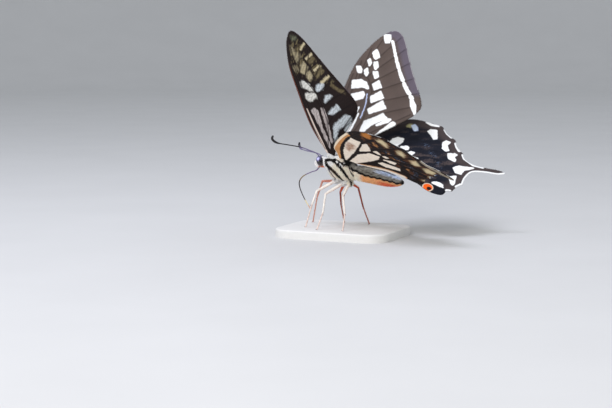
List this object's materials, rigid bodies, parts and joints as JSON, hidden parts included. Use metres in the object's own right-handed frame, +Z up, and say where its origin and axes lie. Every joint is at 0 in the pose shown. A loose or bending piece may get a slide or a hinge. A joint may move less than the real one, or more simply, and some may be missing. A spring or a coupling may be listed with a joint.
{
  "type": "swallowtail butterfly, Asian swallowtail (Papilio xuthus)",
  "caption": "Asian swallowtail butterfly, life size, standing on a small plain base with its wings raised in a V and its tongue let down",
  "frame": {"origin": "bottom centre of the bounding box, on the floor under the base", "axes": "-X towards the head, +X towards the wing tails, -Y to the butterfly's left, +Z up"},
  "size_m": [0.0626, 0.0544, 0.061],
  "materials": {
    "wing": "scaled membrane, brown-black with white and cream marks",
    "body_fur": "short cream fur with black stripes",
    "eye": "glossy, finely faceted",
    "antenna": "matt black with fine rings",
    "proboscis": "satin, ringed",
    "leg": "cream scales over dark reddish joints",
    "stand": "plain matt"
  },
  "bodies": {
    "root": {"head": "body_fur", "eye_left": "eye", "eye_right": "eye", "antenna_left": "antenna", "antenna_right": "antenna", "palp_left": "body_fur", "palp_right": "body_fur", "proboscis": "proboscis", "thorax": "body_fur", "abdomen": "body_fur", "forewing_left": "wing", "forewing_right": "wing", "hindwing_left": "wing", "hindwing_right": "wing", "leg_front_left": "leg", "leg_front_right": "leg", "leg_middle_left": "leg", "leg_middle_right": "leg", "leg_hind_left": "leg", "leg_hind_right": "leg", "stand_base": "stand"}
  },
  "joints": []
}
